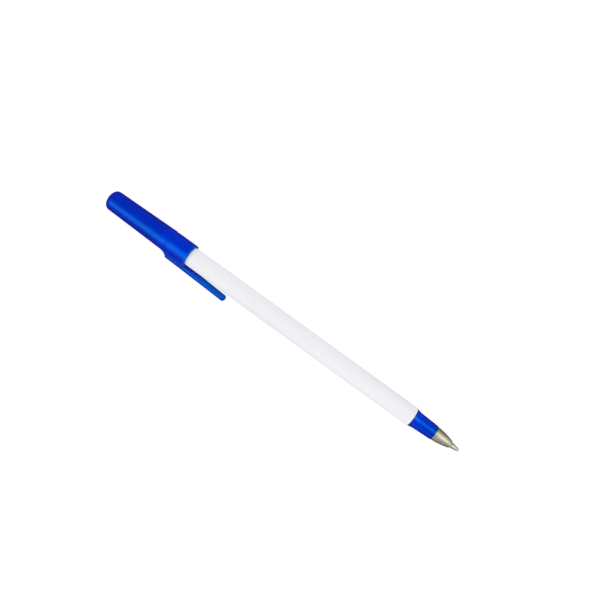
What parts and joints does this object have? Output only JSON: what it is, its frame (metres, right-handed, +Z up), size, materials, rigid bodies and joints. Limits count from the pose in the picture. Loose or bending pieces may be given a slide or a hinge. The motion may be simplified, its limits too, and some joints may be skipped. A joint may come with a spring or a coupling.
{
  "type": "stick ballpoint pen",
  "caption": "Stick ballpoint pen: round white barrel, blue push-on cap with pocket clip posted on the tail, blue flared nose, metal cone and nib with a rolling ball.",
  "frame": {"origin": "on the pen's axis, at the middle of the straight grip of the barrel", "axes": "+X along the pen towards the writing tip, +Z up from the table that the pen lies on, with the clip low on the -Y side so that its outer corner and the cap's collar touch the table"},
  "size_m": [0.1718, 0.0122, 0.0098],
  "materials": {
    "white_plastic": "satin moulded",
    "blue_plastic": "satin gloss moulded",
    "cone_brass": "turned, slightly tarnished",
    "nib_metal": "turned",
    "ball_metal": "lapped",
    "clear_plastic": "translucent",
    "blue_ink": "wet paste"
  },
  "bodies": {
    "pen": {"barrel": "white_plastic", "end_plug": "blue_plastic", "nose_plug": "blue_plastic", "point_cone": "cone_brass", "point": "nib_metal", "ink_tube": "clear_plastic", "ink": "blue_ink"},
    "cap": {"cap": "blue_plastic"},
    "clip": {"cap_clip": "blue_plastic"},
    "ball": {"writing_ball": "ball_metal"}
  },
  "joints": [
    {"name": "cap_pull", "type": "slide", "parent": "pen", "child": "cap", "axis": [-1, 0, 0], "range_m": [0, 0.04]},
    {"name": "clip_flex", "type": "hinge", "parent": "cap", "child": "clip", "pos_m": [-0.0668, -0.00601, -0.00331], "axis": [0, 0.4822, -0.8761], "range_deg": [0, 5], "stiffness_Nm_per_rad": 0.25},
    {"name": "ball_roll", "type": "hinge", "parent": "pen", "child": "ball", "pos_m": [0.0635, 0, 0], "axis": [0, 1, 0], "continuous": true}
  ]
}
